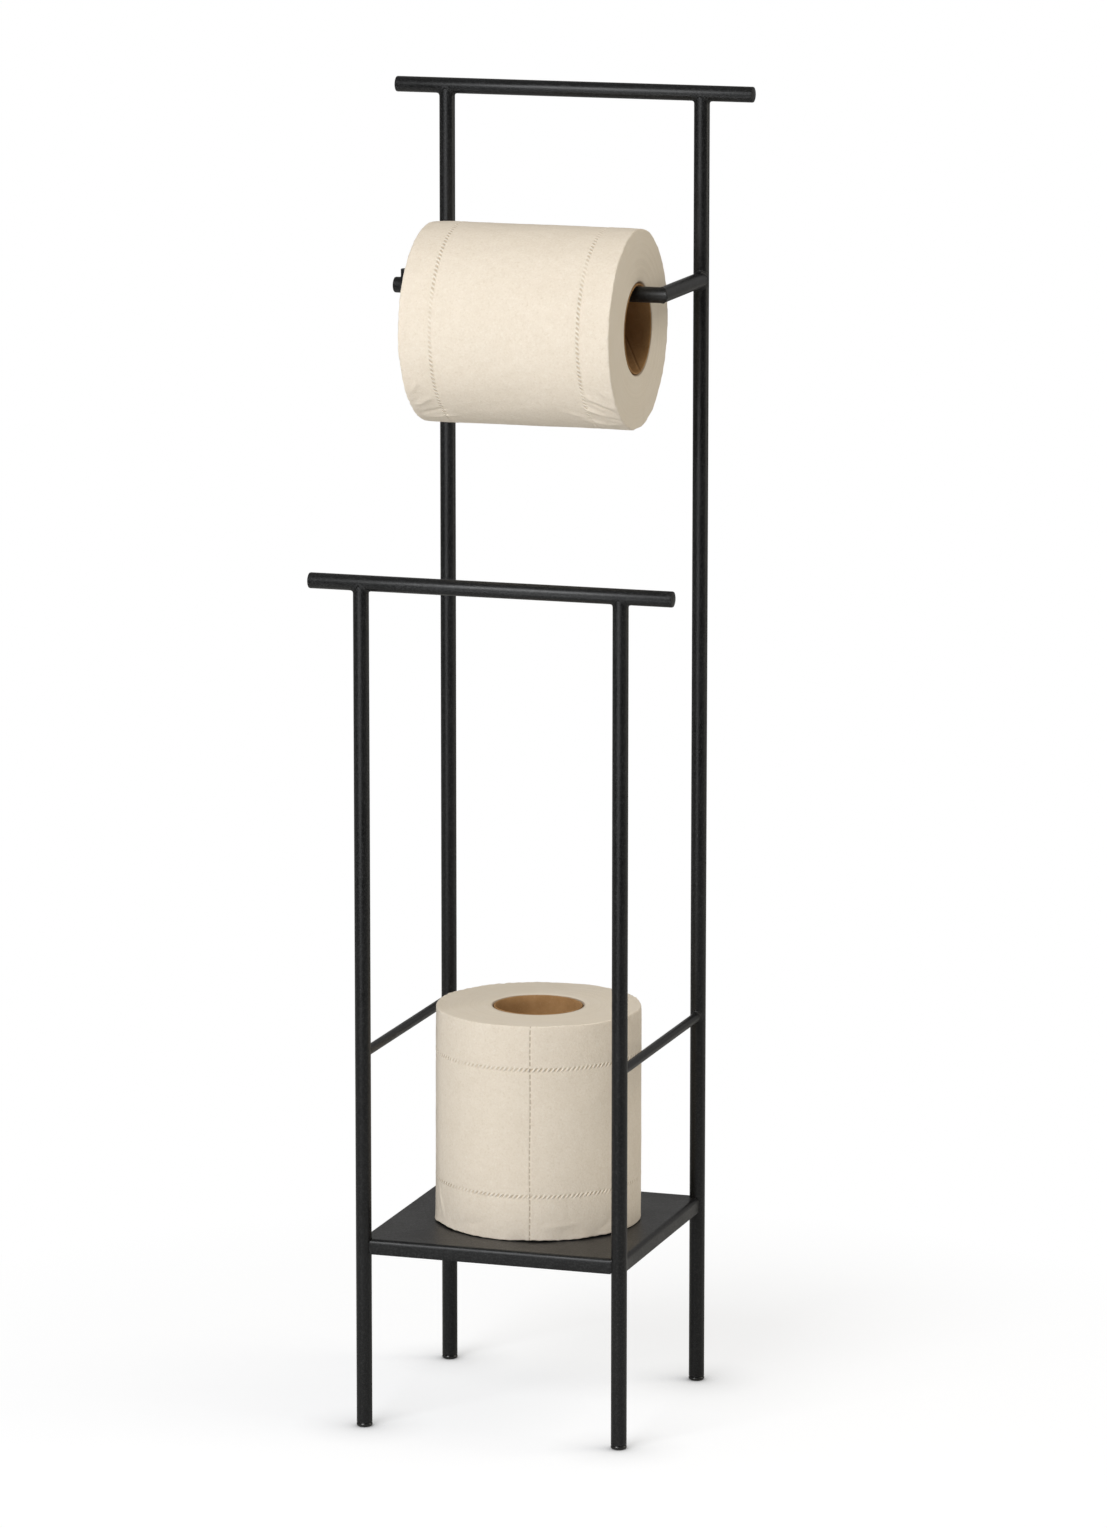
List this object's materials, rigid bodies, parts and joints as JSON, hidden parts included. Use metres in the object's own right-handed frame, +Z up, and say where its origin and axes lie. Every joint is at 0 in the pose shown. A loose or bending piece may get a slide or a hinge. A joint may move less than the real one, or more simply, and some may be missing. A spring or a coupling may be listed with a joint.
{
  "type": "toilet paper holder",
  "caption": "Free-standing toilet paper stand: round-bar steel frame with overhanging top bars, a roll arm with a stop pin, side guard rails and a folded shelf for a spare roll.",
  "frame": {"origin": "middle of the footprint of the bounding box, on the floor under the foot glides", "axes": "+Z up along the posts, +X to the right as seen from the front, so along the top bars, and the front faces -Y"},
  "size_m": [0.1928, 0.1458, 0.6841],
  "materials": {
    "black_powder_coat": "fine-grained semi-matt black powder coat on steel",
    "black_glide_plastic": "smooth black moulded plastic",
    "white_tissue": "soft embossed warm-white tissue in many wound layers",
    "core_board": "plain spirally wound grey-brown board"
  },
  "bodies": {
    "stand": {"front_left_post": "black_powder_coat", "front_right_post": "black_powder_coat", "rear_left_post": "black_powder_coat", "rear_right_post": "black_powder_coat", "front_top_bar": "black_powder_coat", "rear_top_bar": "black_powder_coat", "left_guard_rail": "black_powder_coat", "right_guard_rail": "black_powder_coat", "shelf_tray": "black_powder_coat", "roll_arm_side_bar": "black_powder_coat", "roll_arm_spindle": "black_powder_coat", "roll_stop_pin": "black_powder_coat", "front_left_foot_glide": "black_glide_plastic", "front_right_foot_glide": "black_glide_plastic", "rear_left_foot_glide": "black_glide_plastic", "rear_right_foot_glide": "black_glide_plastic"},
    "hung_roll": {"hung_roll_paper": "white_tissue", "hung_roll_core": "core_board"},
    "spare_roll": {"spare_roll_paper": "white_tissue", "spare_roll_core": "core_board"}
  },
  "joints": [
    {"name": "hung_roll_spin", "type": "hinge", "parent": "stand", "child": "hung_roll", "pos_m": [0.0006, 0, 0.56665], "axis": [1, 0, 0], "continuous": true},
    {"name": "spare_roll_out", "type": "slide", "parent": "stand", "child": "spare_roll", "axis": [0, -1, 0], "range_m": [0, 0.2]}
  ]
}
